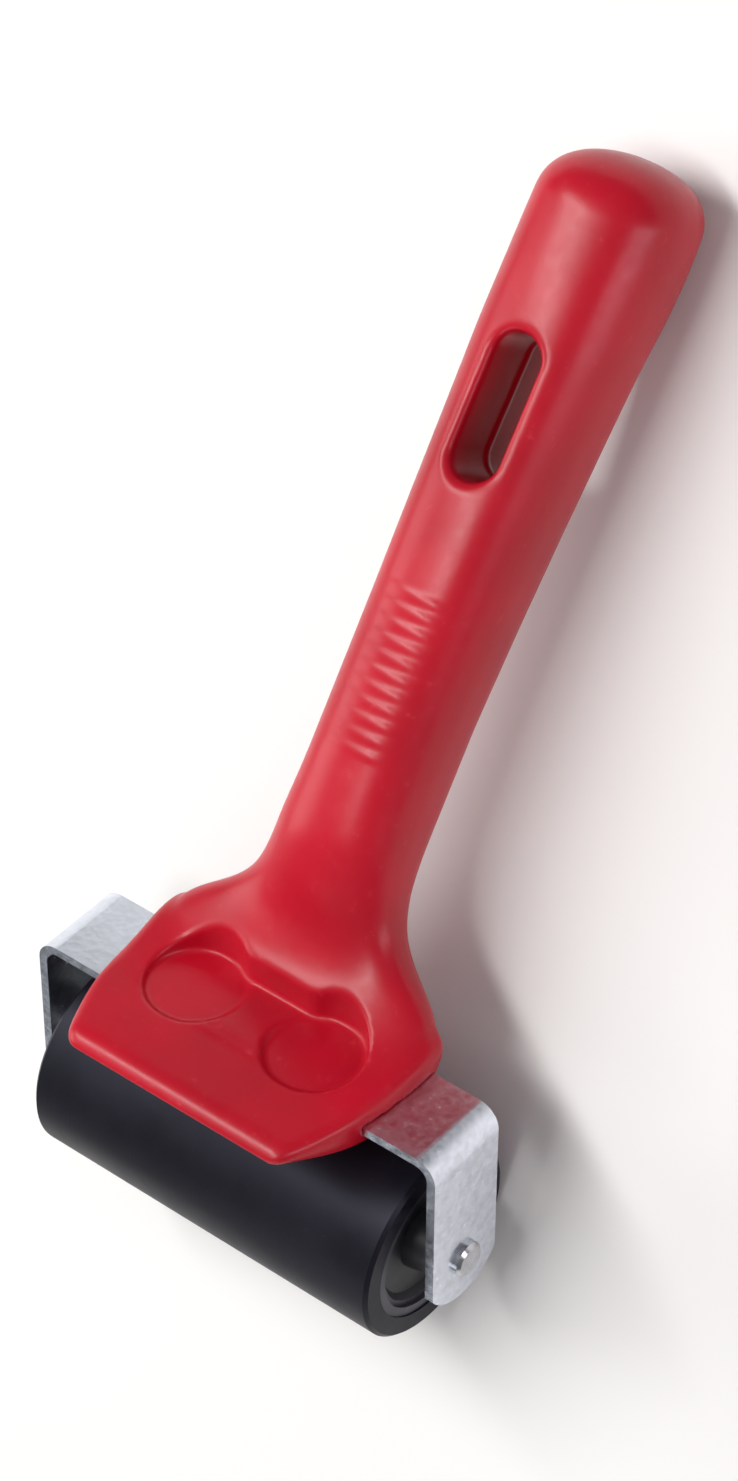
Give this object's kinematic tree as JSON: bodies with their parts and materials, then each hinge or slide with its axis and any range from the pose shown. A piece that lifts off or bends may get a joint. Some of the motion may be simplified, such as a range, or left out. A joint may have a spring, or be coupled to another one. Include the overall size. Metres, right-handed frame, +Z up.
{
  "type": "rubber brayer",
  "caption": "Hand ink roller: a rubber roller on an axle in a U-shaped steel strip bracket, with a moulded plastic handle that has a thumb lip, thumb pads and a hanging slot.",
  "frame": {"origin": "middle of the tool's footprint, on the table that the roller and the grip's heel rest on", "axes": "+X along the axle, +Y from the roller to the end of the grip, +Z up"},
  "size_m": [0.0784, 0.1743, 0.0488],
  "materials": {
    "handle_plastic": "glossy red moulded plastic",
    "zinc_steel": "bright zinc-plated strip with a fine mottled grain",
    "axle_steel": "bright zinc-plated steel",
    "roller_rubber": "ground satin black rubber",
    "core_plastic": "black moulded plastic",
    "bush_nylon": "dark nylon"
  },
  "bodies": {
    "frame": {"handle": "handle_plastic", "bracket": "zinc_steel", "axle": "axle_steel", "washer_right": "axle_steel", "washer_left": "axle_steel"},
    "roller": {"roller_sleeve": "roller_rubber", "roller_core": "core_plastic", "hub_right": "core_plastic", "hub_left": "core_plastic", "bush_right": "bush_nylon", "bush_left": "bush_nylon"}
  },
  "joints": [
    {"name": "roller_spin", "type": "hinge", "parent": "frame", "child": "roller", "pos_m": [0, -0.07065, 0.0165], "axis": [1, 0, 0], "continuous": true}
  ]
}
